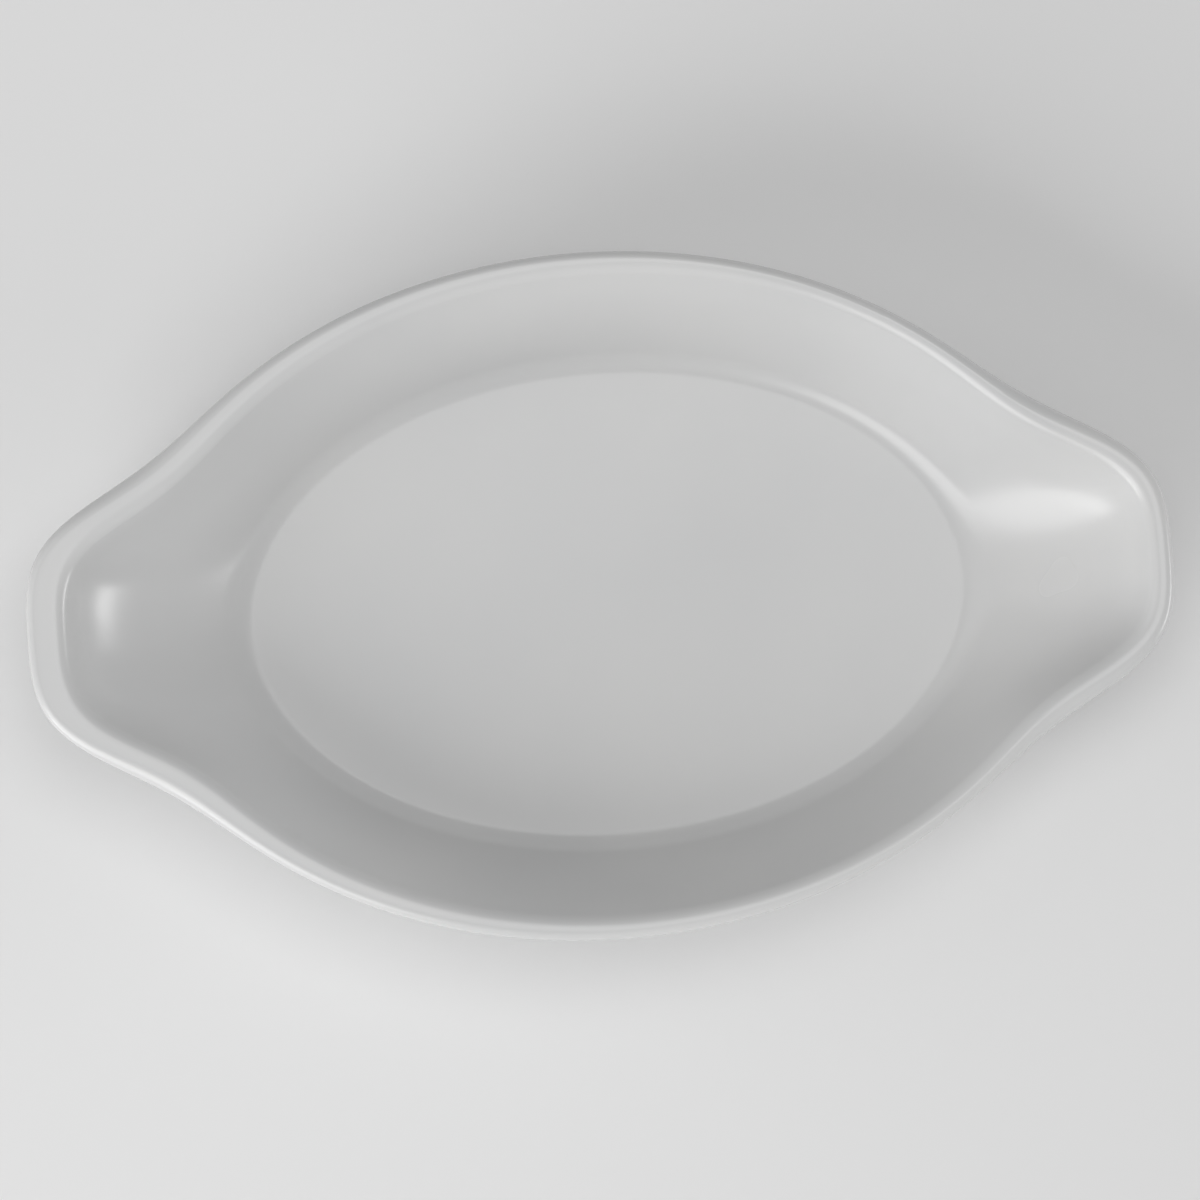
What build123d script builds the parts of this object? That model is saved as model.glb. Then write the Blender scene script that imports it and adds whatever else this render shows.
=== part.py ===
from build123d import *
from math import atan2, cos, hypot, pi, radians, sin, sqrt, tan
import os

os.makedirs("parts", exist_ok=True)

# Sizes in millimetres. The origin is on the resting plane under the middle of the dish,
# X runs along the length towards one ear and Z is up.

# Overall size
dish_length = 280
dish_width = 168
dish_height = 42

# Rim, seen from above: an oval bowl with a rounded tab, the ear, at each end
ear_reach = 24.25
ear_width = 69
rim_width = 4.8
rim_outer_round = 2.2
rim_inner_round = 4

# Rolled edge: the outer side of the rim, undercut below to lead back to the wall
rim_height = 5
undercut_angle = 38
undercut_round = 1.8

# Floor of the bowl, and how far the wall leans in from the rim to the floor, measured to
# the sharp corner that the floor round fills
end_lean = 19.45
side_lean = 18.7
floor_thickness = 5
floor_round = 3.5

# Wall, the gentler slope that it takes into the scoop of each ear, and the slope at which
# the flanks of an ear close in, as a width for each unit of depth
wall_thickness = 4.4
scoop_angle = 33
scoop_round = 7
flank_slope = 0.25

# The lip of each ear is broader than the rim elsewhere, and the inside is pressed a little
# off centre, which makes it broader still at -X
ear_lip_extra = 2
inside_offset = 2

# Base, and the foot ring under it, set in from the oval of the rim
base_round = 7
foot_end_inset = 31.75
foot_side_inset = 29.5
foot_height = 2
foot_ring_width = 5
foot_round = 0.8

# How square the ears are and how tightly they blend into the oval, both at the rim, from
# where they soften towards the base
rim_ear_power = 3.77
base_ear_power = 2
rim_blend_power = 6.7
base_blend_power = 2.5

# The rounds of the rim, the floor and the base stop at this angle, just short of the flat
edge_turn = 80

# Points round each level section, and where the sections lie: at these shares of the turn
# of each round, and evenly spread over the wall in between
section_points = 90
round_shares = (0, 0.2, 0.4, 0.6, 0.8, 1)
wall_steps = 28

# Lengths, heights and wall slopes that follow from the sizes above
bowl_length = dish_length - 2 * ear_reach
floor_top = foot_height + floor_thickness
inside_height = dish_height - floor_top
body_height = dish_height - foot_height
end_slope = end_lean / inside_height
side_slope = side_lean / inside_height
scoop_slope = 1 / tan(radians(scoop_angle))
undercut_slope = 1 / tan(radians(undercut_angle))

# The wall is measured square to its slope, so on the level it is thicker
end_wall = wall_thickness * hypot(1, end_slope)
side_wall = wall_thickness * hypot(1, side_slope)
scoop_wall = wall_thickness * hypot(1, scoop_slope)

# Each ear grows out of the end wall with height, until it has its full reach
ear_growth = scoop_slope - end_slope
ear_underside_drop = (scoop_wall - end_wall) / ear_growth


def ramp(distance, ease):
    """Zero up to a corner and the distance past it, rounded over ease on either side."""
    if distance <= -ease:
        return 0
    if distance >= ease:
        return distance
    return (distance + ease) ** 2 / (4 * ease)


def round_inset(distance, radius):
    """How far a quarter round draws a side in at a distance from the flat beside it."""
    rise = distance + radius * (1 - sin(radians(edge_turn)))
    if rise >= radius:
        return 0
    return radius - sqrt(rise * (2 * radius - rise))


def round_distances(radius, last_turn):
    """Distances from the flat of sections spread along a round, to its last turn."""
    first_turn = radians(edge_turn)
    turns = [first_turn + share * (last_turn - first_turn) for share in round_shares]
    return [radius * (sin(first_turn) - sin(turn)) for turn in turns]


def wall_depths(start, end):
    """Depths of the sections between two rounds, with both ends left out."""
    step = (end - start) / wall_steps
    return [start + step * index for index in range(1, wall_steps)]


def outer_inset(depth, slope, wall):
    """How far the outside is drawn in at a depth under the rim."""
    steeper = undercut_slope - slope
    undercut_height = (rim_width - wall + slope * rim_height) / steeper
    below_edge = depth - rim_height
    undercut = undercut_slope * ramp(below_edge, undercut_round)
    undercut -= steeper * ramp(below_edge - undercut_height, undercut_round)
    rim_inset = round_inset(depth, rim_outer_round)
    base_inset = round_inset(body_height - depth, base_round)
    return undercut + rim_inset + base_inset


def inner_inset(depth, slope):
    """How far the inside is drawn in at a depth under the rim."""
    wall_angle = atan2(1, slope)
    if depth > round_distances(rim_inner_round, pi / 2 - wall_angle)[-1]:
        return slope * depth + round_inset(inside_height - depth, floor_round)
    tangent_length = rim_inner_round * tan(wall_angle / 2)
    return rim_inner_round - round_inset(depth, rim_inner_round) - tangent_length


def ear_share(depth, full_reach):
    """How much of its full reach past the oval an ear has at a depth."""
    lip_depth = inside_height - full_reach / ear_growth
    lost_reach = ear_growth * ramp(depth - lip_depth, scoop_round)
    return max(1 - lost_reach / full_reach, 0)


def section(depth, offset, end_inset, side_inset, full_reach, share):
    """One level outline: an oval, swelling at each end by a share of a full ear."""
    half_length = bowl_length / 2 - end_inset
    half_width = dish_width / 2 - side_inset
    tip = half_length + full_reach
    base_share = depth / body_height
    ear_power = rim_ear_power + (base_ear_power - rim_ear_power) * base_share
    blend_power = rim_blend_power + (base_blend_power - rim_blend_power) * base_share
    ear_half_length = (tip**blend_power - half_length**blend_power) ** (1 / blend_power)
    ear_half_width = ear_width / 2 - side_inset + (side_slope - flank_slope) * depth
    points = []
    for index in range(section_points):
        turn = 2 * pi * index / section_points
        x = half_length * cos(turn)
        y = half_width * sin(turn)
        oval_radius = hypot(x, y)
        angle = atan2(y, x)
        along = (abs(cos(angle)) / ear_half_length) ** ear_power
        across = (abs(sin(angle)) / ear_half_width) ** ear_power
        ear_radius = (along + across) ** (-1 / ear_power)
        full_radius = (oval_radius**blend_power + ear_radius**blend_power) ** (1 / blend_power)
        radius = oval_radius + share * (full_radius - oval_radius)
        points.append((offset + radius * cos(angle), radius * sin(angle)))
    steps = [index / section_points for index in range(section_points + 1)]
    with BuildSketch(Plane.XY.offset(dish_height - depth)) as outline:
        with BuildLine():
            add(Edge.make_spline(points, periodic=True, parameters=steps))
        make_face()
    return outline.sketch


def outside_section(depth):
    """Outline of the outside at a depth under the rim."""
    end_inset = outer_inset(depth, end_slope, end_wall)
    side_inset = outer_inset(depth, side_slope, side_wall)
    share = ear_share(depth - ear_underside_drop, ear_reach)
    return section(depth, 0, end_inset, side_inset, ear_reach, share)


def inside_section(depth):
    """Outline of the inside at a depth under the rim."""
    end_inset = rim_width + inner_inset(depth, end_slope)
    side_inset = rim_width + inner_inset(depth, side_slope)
    full_reach = ear_reach - ear_lip_extra
    share = ear_share(depth, full_reach)
    return section(depth, inside_offset, end_inset, side_inset, full_reach, share)


def level_face(height):
    """The level face of the dish at a height over the resting plane."""
    level_faces = dish.faces().filter_by(Plane.XY)
    return level_faces.sort_by(lambda face: abs(face.center().Z - height))[0]


# Body: the outside of the dish as a solid block
base_depths = [body_height - height for height in round_distances(base_round, 0)]
outside_depths = round_distances(rim_outer_round, 0)
outside_depths += wall_depths(outside_depths[-1], base_depths[-1])
outside_depths += reversed(base_depths)
with BuildPart() as body:
    loft([outside_section(depth) for depth in reversed(outside_depths)])

# Inside: the hollow of the bowl with its two scoops
floor_depths = [inside_height - height for height in round_distances(floor_round, 0)]
inside_depths = round_distances(rim_inner_round, atan2(end_slope, 1))
inside_depths += wall_depths(inside_depths[-1], floor_depths[-1])
inside_depths += reversed(floor_depths)
with BuildPart() as inside:
    loft([inside_section(depth) for depth in reversed(inside_depths)])

# Dish: the hollowed body, standing on its foot ring
foot_half_length = bowl_length / 2 - foot_end_inset
foot_half_width = dish_width / 2 - foot_side_inset
with BuildPart() as dish:
    add(body.part)
    add(inside.part, mode=Mode.SUBTRACT)
    with BuildSketch():
        Ellipse(foot_half_length, foot_half_width)
        Ellipse(
            foot_half_length - foot_ring_width,
            foot_half_width - foot_ring_width,
            mode=Mode.SUBTRACT,
        )
    extrude(amount=foot_height)
    fillet(level_face(0).edges(), foot_round)

dish.part.label = "dish"
export_step(dish.part, "parts/dish.step")
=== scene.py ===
from math import atan2, cos, hypot, pi, radians, sin, sqrt, tan

import bmesh
import bpy
from mathutils import Matrix, Vector


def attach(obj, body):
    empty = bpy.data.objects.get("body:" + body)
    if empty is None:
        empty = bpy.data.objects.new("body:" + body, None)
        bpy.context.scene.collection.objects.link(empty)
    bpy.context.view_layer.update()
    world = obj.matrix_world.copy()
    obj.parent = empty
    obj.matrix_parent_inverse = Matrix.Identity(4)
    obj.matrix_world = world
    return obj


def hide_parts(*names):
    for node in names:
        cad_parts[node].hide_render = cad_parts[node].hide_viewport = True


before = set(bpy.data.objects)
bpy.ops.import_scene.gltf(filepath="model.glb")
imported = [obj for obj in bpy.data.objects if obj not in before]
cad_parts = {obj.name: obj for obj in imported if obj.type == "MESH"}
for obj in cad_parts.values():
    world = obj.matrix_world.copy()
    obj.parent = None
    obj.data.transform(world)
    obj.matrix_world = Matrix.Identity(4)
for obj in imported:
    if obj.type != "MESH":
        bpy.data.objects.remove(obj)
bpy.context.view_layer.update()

# Everything is in metres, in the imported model's frame: X runs along the dish's length,
# Z is up and the dish stands on Z = 0.
MM = 0.001

# Sizes of the dish, the same as the solid's
DISH_LENGTH = 280 * MM
DISH_WIDTH = 168 * MM
DISH_HEIGHT = 42 * MM
EAR_REACH = 24.25 * MM
EAR_WIDTH = 69 * MM
RIM_WIDTH = 4.8 * MM
RIM_OUTER_ROUND = 2.2 * MM
RIM_INNER_ROUND = 4 * MM
RIM_HEIGHT = 5 * MM
UNDERCUT_ANGLE = 38
UNDERCUT_ROUND = 1.8 * MM
END_LEAN = 19.45 * MM
SIDE_LEAN = 18.7 * MM
FLOOR_THICKNESS = 5 * MM
FLOOR_ROUND = 3.5 * MM
WALL_THICKNESS = 4.4 * MM
SCOOP_ANGLE = 33
SCOOP_ROUND = 7 * MM
FLANK_SLOPE = 0.25
EAR_LIP_EXTRA = 2 * MM
INSIDE_OFFSET = 2 * MM
BASE_ROUND = 7 * MM
FOOT_END_INSET = 31.75 * MM
FOOT_SIDE_INSET = 29.5 * MM
FOOT_HEIGHT = 2 * MM
FOOT_RING_WIDTH = 5 * MM
FOOT_ROUND = 0.8 * MM
RIM_EAR_POWER = 3.77
BASE_EAR_POWER = 2
RIM_BLEND_POWER = 6.7
BASE_BLEND_POWER = 2.5

# How finely the mesh follows them, and how near points are joined
RING_POINTS = 288
ROUND_STEPS = 10
FOOT_STEPS = 4
CREST_STEPS = 4
WALL_STEPS = 40
FLAT_STEPS = 18
JOIN_DISTANCE = 0.002 * MM

# How often the search for a point of the inside, or of the crest, is repeated
INSIDE_TRIES = 6
CREST_TRIES = 24

# Lengths, heights and slopes that follow from the sizes
BOWL_LENGTH = DISH_LENGTH - 2 * EAR_REACH
INSIDE_HEIGHT = DISH_HEIGHT - FOOT_HEIGHT - FLOOR_THICKNESS
BODY_HEIGHT = DISH_HEIGHT - FOOT_HEIGHT
END_SLOPE = END_LEAN / INSIDE_HEIGHT
SIDE_SLOPE = SIDE_LEAN / INSIDE_HEIGHT
SCOOP_SLOPE = 1 / tan(radians(SCOOP_ANGLE))
UNDERCUT_SLOPE = 1 / tan(radians(UNDERCUT_ANGLE))
END_WALL = WALL_THICKNESS * hypot(1, END_SLOPE)
SIDE_WALL = WALL_THICKNESS * hypot(1, SIDE_SLOPE)
SCOOP_WALL = WALL_THICKNESS * hypot(1, SCOOP_SLOPE)
EAR_GROWTH = SCOOP_SLOPE - END_SLOPE
EAR_UNDERSIDE_DROP = (SCOOP_WALL - END_WALL) / EAR_GROWTH

# Middles of the underside and of the floor of the bowl, where the mesh closes
UNDERSIDE_MIDDLE = (0, 0, FOOT_HEIGHT)
FLOOR_MIDDLE = (INSIDE_OFFSET, 0, FOOT_HEIGHT + FLOOR_THICKNESS)


def ramp(distance, ease):
    """Zero up to a corner and the distance past it, rounded over ease on either side."""
    if distance <= -ease:
        return 0
    if distance >= ease:
        return distance
    return (distance + ease) ** 2 / (4 * ease)


def round_inset(distance, radius):
    """How far a quarter round draws a side in at a distance from the flat beside it."""
    if distance >= radius:
        return 0
    return radius - sqrt(max(distance, 0) * (2 * radius - distance))


def outer_inset(depth, slope, wall):
    """How far the outside is drawn in at a depth under the rim."""
    steeper = UNDERCUT_SLOPE - slope
    undercut_height = (RIM_WIDTH - wall + slope * RIM_HEIGHT) / steeper
    below_edge = depth - RIM_HEIGHT
    undercut = UNDERCUT_SLOPE * ramp(below_edge, UNDERCUT_ROUND)
    undercut -= steeper * ramp(below_edge - undercut_height, UNDERCUT_ROUND)
    rim_inset = round_inset(depth, RIM_OUTER_ROUND)
    base_inset = round_inset(BODY_HEIGHT - depth, BASE_ROUND)
    return undercut + rim_inset + base_inset


def inner_inset(depth, slope):
    """How far the inside is drawn in at a depth under the rim."""
    wall_angle = atan2(1, slope)
    if depth > RIM_INNER_ROUND * (1 - cos(wall_angle)):
        return slope * depth + round_inset(INSIDE_HEIGHT - depth, FLOOR_ROUND)
    tangent_length = RIM_INNER_ROUND * tan(wall_angle / 2)
    return RIM_INNER_ROUND - round_inset(depth, RIM_INNER_ROUND) - tangent_length


def ear_share(depth, full_reach):
    """How much of its full reach past the oval an ear has at a depth."""
    lip_depth = INSIDE_HEIGHT - full_reach / EAR_GROWTH
    lost_reach = EAR_GROWTH * ramp(depth - lip_depth, SCOOP_ROUND)
    return max(1 - lost_reach / full_reach, 0)


def outline_radius(angle, depth, end_inset, side_inset, full_reach, share):
    """Radius of a level outline: an oval, swelling at each end by a share of a full ear."""
    half_length = BOWL_LENGTH / 2 - end_inset
    half_width = DISH_WIDTH / 2 - side_inset
    tip = half_length + full_reach
    base_share = depth / BODY_HEIGHT
    ear_power = RIM_EAR_POWER + (BASE_EAR_POWER - RIM_EAR_POWER) * base_share
    blend_power = RIM_BLEND_POWER + (BASE_BLEND_POWER - RIM_BLEND_POWER) * base_share
    ear_half_length = (tip**blend_power - half_length**blend_power) ** (1 / blend_power)
    ear_half_width = EAR_WIDTH / 2 - side_inset + (SIDE_SLOPE - FLANK_SLOPE) * depth
    oval_radius = 1 / hypot(cos(angle) / half_length, sin(angle) / half_width)
    along = (abs(cos(angle)) / ear_half_length) ** ear_power
    across = (abs(sin(angle)) / ear_half_width) ** ear_power
    ear_radius = (along + across) ** (-1 / ear_power)
    full_radius = (oval_radius**blend_power + ear_radius**blend_power) ** (1 / blend_power)
    return oval_radius + share * (full_radius - oval_radius)


def outside_radius(angle, depth):
    """How far from the middle the outside is at an angle, at a depth under the rim."""
    end_inset = outer_inset(depth, END_SLOPE, END_WALL)
    side_inset = outer_inset(depth, SIDE_SLOPE, SIDE_WALL)
    share = ear_share(depth - EAR_UNDERSIDE_DROP, EAR_REACH)
    return outline_radius(angle, depth, end_inset, side_inset, EAR_REACH, share)


def inside_radius(angle, depth):
    """How far from the middle the inside is, which has a middle of its own at +X."""
    end_inset = RIM_WIDTH + inner_inset(depth, END_SLOPE)
    side_inset = RIM_WIDTH + inner_inset(depth, SIDE_SLOPE)
    reach = EAR_REACH - EAR_LIP_EXTRA
    share = ear_share(depth, reach)
    radius = BOWL_LENGTH / 2
    for _ in range(INSIDE_TRIES):
        x = radius * cos(angle) - INSIDE_OFFSET
        y = radius * sin(angle)
        own_radius = outline_radius(atan2(y, x), depth, end_inset, side_inset, reach, share)
        radius *= own_radius / hypot(x, y)
    return radius


def crest_depth(angle):
    """Depth where the rounds of the rim meet, where it is too narrow for a level crest."""
    high = 0
    low = RIM_OUTER_ROUND
    if outside_radius(angle, high) >= inside_radius(angle, high):
        return high
    for _ in range(CREST_TRIES):
        middle = (high + low) / 2
        if outside_radius(angle, middle) < inside_radius(angle, middle):
            high = middle
        else:
            low = middle
    return low


TURNS = [2 * pi * index / RING_POINTS for index in range(RING_POINTS)]
ANGLES = [atan2(DISH_WIDTH * sin(turn), BOWL_LENGTH * cos(turn)) for turn in TURNS]
CREST_DEPTHS = [crest_depth(angle) for angle in ANGLES]


def level_ring(radius_at, rim_depth):
    """Ring of the outside or the inside at a depth under the rim, kept under its crest."""
    points = []
    for angle, crest in zip(ANGLES, CREST_DEPTHS):
        depth = max(rim_depth, crest)
        radius = radius_at(angle, depth)
        points.append((radius * cos(angle), radius * sin(angle), DISH_HEIGHT - depth))
    return points


def foot_ring(height, inset):
    """Ring of the foot, an oval drawn in from its outside."""
    half_length = BOWL_LENGTH / 2 - FOOT_END_INSET - inset
    half_width = DISH_WIDTH / 2 - FOOT_SIDE_INSET - inset
    return [(half_length * cos(turn), half_width * sin(turn), height) for turn in TURNS]


def between(first, second, count):
    """Rings spread evenly between two rings, with both left out."""
    rings = []
    for step in range(1, count):
        share = step / count
        rings.append([tuple(Vector(a).lerp(Vector(b), share)) for a, b in zip(first, second)])
    return rings


def round_depths(radius, last_turn):
    """Distances from the flat along a round, from the flat to its last turn."""
    depths = []
    for step in range(ROUND_STEPS + 1):
        turn = pi / 2 + (last_turn - pi / 2) * step / ROUND_STEPS
        depths.append(radius * (1 - sin(turn)))
    return depths


def wall_depths(start, end):
    """Depths between two rounds, with both ends left out."""
    return [start + (end - start) * step / WALL_STEPS for step in range(1, WALL_STEPS)]


def foot_rings():
    """Rings of the foot, from its inner side down and up again to its outer side."""
    rounded = []
    for step in range(FOOT_STEPS + 1):
        turn = pi / 2 * step / FOOT_STEPS
        rounded.append((FOOT_ROUND * (1 - sin(turn)), FOOT_ROUND * (1 - cos(turn))))
    rings = [foot_ring(FOOT_HEIGHT, FOOT_RING_WIDTH)]
    rings += [foot_ring(height, FOOT_RING_WIDTH - inset) for height, inset in rounded]
    rings += [foot_ring(height, inset) for height, inset in reversed(rounded)]
    return rings + [foot_ring(FOOT_HEIGHT, 0)]


def dish_rings():
    """All rings of the dish, from the middle of the underside round the rim to the floor."""
    foot = foot_rings()
    rings = between([UNDERSIDE_MIDDLE] * RING_POINTS, foot[0], FLAT_STEPS) + foot

    base = [BODY_HEIGHT - height for height in round_depths(BASE_ROUND, 0)]
    rim = round_depths(RIM_OUTER_ROUND, 0)
    depths = base + wall_depths(base[-1], rim[-1]) + rim[::-1]
    rings += [level_ring(outside_radius, depth) for depth in depths]

    floor = [INSIDE_HEIGHT - height for height in round_depths(FLOOR_ROUND, 0)]
    rim = round_depths(RIM_INNER_ROUND, atan2(END_SLOPE, 1))
    depths = rim + wall_depths(rim[-1], floor[-1]) + floor[::-1]
    rings += between(rings[-1], level_ring(inside_radius, 0), CREST_STEPS)
    rings += [level_ring(inside_radius, depth) for depth in depths]
    return rings + between(rings[-1], [FLOOR_MIDDLE] * RING_POINTS, FLAT_STEPS)


def smooth_object(name, rings, first_middle, last_middle):
    """A closed, smooth mesh: quads between the rings and a fan to the middle at each end."""
    points = [point for ring in rings for point in ring]
    last_start = len(points) - RING_POINTS
    points += [first_middle, last_middle]
    first_centre = len(points) - 2
    last_centre = len(points) - 1
    faces = []
    for index in range(RING_POINTS):
        after = (index + 1) % RING_POINTS
        for low in range(0, last_start, RING_POINTS):
            high = low + RING_POINTS
            faces.append((low + index, low + after, high + after, high + index))
        faces.append((first_centre, after, index))
        faces.append((last_centre, last_start + index, last_start + after))
    mesh = bpy.data.meshes.new(name)
    mesh.from_pydata(points, [], faces)
    shape = bmesh.new()
    shape.from_mesh(mesh)
    bmesh.ops.remove_doubles(shape, verts=shape.verts, dist=JOIN_DISTANCE)
    shape.to_mesh(mesh)
    shape.free()
    for polygon in mesh.polygons:
        polygon.use_smooth = True
    made = bpy.data.objects.new(name, mesh)
    bpy.context.scene.collection.objects.link(made)
    return made


# Dish
dish = smooth_object("gratin_dish", dish_rings(), UNDERSIDE_MIDDLE, FLOOR_MIDDLE)
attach(dish, "root")
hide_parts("dish")

# Glaze: its colour, gloss and ripple, each uneven by a little
GLAZE_SHADES = (((0.595, 0.598, 0.6, 1), 0.3), ((0.635, 0.635, 0.632, 1), 0.7))
GLAZE_ROUGHNESS = (0.22, 0.29)
GLAZE_IOR = 1.5
CLOUD_SCALE = 14
CLOUD_DETAIL = 3
RIPPLE_SCALE = 45
RIPPLE_DETAIL = 1
RIPPLE_DEPTH = 0.4 * MM
RIPPLE_STRENGTH = 0.15


def new_material(name):
    """A material, with its nodes, links and shader."""
    material = bpy.data.materials.new(name)
    material.use_nodes = True
    nodes = material.node_tree.nodes
    return material, nodes, material.node_tree.links, nodes["Principled BSDF"]


def glaze_material():
    """White porcelain glaze: neutral, glossy, slightly uneven."""
    material, nodes, links, shader = new_material("porcelain_glaze")
    shader.inputs["IOR"].default_value = GLAZE_IOR
    where = nodes.new("ShaderNodeTexCoord")
    cloud = nodes.new("ShaderNodeTexNoise")
    cloud.inputs["Scale"].default_value = CLOUD_SCALE
    cloud.inputs["Detail"].default_value = CLOUD_DETAIL
    links.new(where.outputs["Object"], cloud.inputs["Vector"])
    tint = nodes.new("ShaderNodeValToRGB")
    for element, (shade, position) in zip(tint.color_ramp.elements, GLAZE_SHADES):
        element.position = position
        element.color = shade
    links.new(cloud.outputs["Fac"], tint.inputs["Fac"])
    links.new(tint.outputs["Color"], shader.inputs["Base Color"])
    gloss = nodes.new("ShaderNodeMapRange")
    gloss.inputs["To Min"].default_value = GLAZE_ROUGHNESS[0]
    gloss.inputs["To Max"].default_value = GLAZE_ROUGHNESS[1]
    links.new(cloud.outputs["Fac"], gloss.inputs["Value"])
    links.new(gloss.outputs["Result"], shader.inputs["Roughness"])
    ripple = nodes.new("ShaderNodeTexNoise")
    ripple.inputs["Scale"].default_value = RIPPLE_SCALE
    ripple.inputs["Detail"].default_value = RIPPLE_DETAIL
    links.new(where.outputs["Object"], ripple.inputs["Vector"])
    bump = nodes.new("ShaderNodeBump")
    bump.inputs["Strength"].default_value = RIPPLE_STRENGTH
    bump.inputs["Distance"].default_value = RIPPLE_DEPTH
    links.new(ripple.outputs["Fac"], bump.inputs["Height"])
    links.new(bump.outputs["Normal"], shader.inputs["Normal"])
    return material


dish.data.materials.append(glaze_material())

# Floor
FLOOR_REACH = 3
FLOOR_CORNERS = ((-1, -1), (1, -1), (1, 1), (-1, 1))
FLOOR_COLOUR = (0.8, 0.8, 0.8, 1)
FLOOR_ROUGHNESS = 0.9
FLOOR_SPECULAR = 0.1
floor_points = [(FLOOR_REACH * x, FLOOR_REACH * y, 0) for x, y in FLOOR_CORNERS]
floor_mesh = bpy.data.meshes.new("floor")
floor_mesh.from_pydata(floor_points, [], [range(len(FLOOR_CORNERS))])
floor = bpy.data.objects.new("floor", floor_mesh)
bpy.context.scene.collection.objects.link(floor)
floor_material, _, _, floor_shader = new_material("pale_floor")
floor_shader.inputs["Base Color"].default_value = FLOOR_COLOUR
floor_shader.inputs["Roughness"].default_value = FLOOR_ROUGHNESS
floor_shader.inputs["Specular IOR Level"].default_value = FLOOR_SPECULAR
floor_mesh.materials.append(floor_material)

# Light: a pale surround and lights at one distance from the dish, each with its azimuth,
# elevation, width, height and power
SURROUND_COLOUR = (1, 1, 1, 1)
SURROUND_STRENGTH = 0.28
LIGHT_DISTANCE = 1.6
LIGHTS = {
    "key_light": (222, 30, 1.2, 0.9, 13),
    "top_light": (60, 80, 0.9, 0.9, 6),
    "back_light": (150, 45, 0.9, 0.9, 2),
    "low_left_light": (216, 9, 0.9, 0.3, 6),
    "low_right_light": (349, 12, 0.8, 0.35, 8),
}
world = bpy.data.worlds.new("studio")
world.use_nodes = True
background = world.node_tree.nodes["Background"]
background.inputs["Color"].default_value = SURROUND_COLOUR
background.inputs["Strength"].default_value = SURROUND_STRENGTH
bpy.context.scene.world = world


def area_light(name, azimuth, elevation, width, height, power):
    """A soft light that looks at the dish from an azimuth, counted from +X."""
    data = bpy.data.lights.new(name, "AREA")
    data.shape = "RECTANGLE"
    data.size = width
    data.size_y = height
    data.energy = power
    light = bpy.data.objects.new(name, data)
    bpy.context.scene.collection.objects.link(light)
    turn = radians(azimuth)
    rise = radians(elevation)
    towards = Vector((cos(turn) * cos(rise), sin(turn) * cos(rise), sin(rise)))
    light.location = towards * LIGHT_DISTANCE
    light.rotation_euler = towards.to_track_quat("Z", "Y").to_euler()


for name, setting in LIGHTS.items():
    area_light(name, *setting)

# Camera: almost straight above, turned a little and leaning towards the near side. Its
# lens gives the stated scale at the height of the rim.
IMAGE_SIDE = 1200
PIXELS_PER_METRE = 4.107 / MM
CAMERA_DISTANCE = 1.3
CAMERA_TURN = 4.46
CAMERA_LEAN = 3.7
AIM_SHIFT = 1.5 * MM
SENSOR_WIDTH = 36
CLIP_START = 0.05
turn = radians(CAMERA_TURN)
lean = radians(CAMERA_LEAN)
right = Vector((cos(turn), -sin(turn), 0))
up_level = Vector((sin(turn), cos(turn), 0))
back = Vector((0, 0, 1)) * cos(lean) - up_level * sin(lean)
up = back.cross(right)
aim = Vector((0, 0, DISH_HEIGHT)) - up_level * AIM_SHIFT
camera_data = bpy.data.cameras.new("camera")
camera_data.sensor_width = SENSOR_WIDTH
camera_data.lens = SENSOR_WIDTH * CAMERA_DISTANCE * PIXELS_PER_METRE / IMAGE_SIDE
camera_data.clip_start = CLIP_START
camera = bpy.data.objects.new("camera", camera_data)
place = Matrix.Translation(aim + back * CAMERA_DISTANCE)
camera.matrix_world = place @ Matrix((right, up, back)).transposed().to_4x4()
bpy.context.scene.collection.objects.link(camera)
bpy.context.scene.camera = camera

bpy.context.scene.view_settings.view_transform = "Standard"
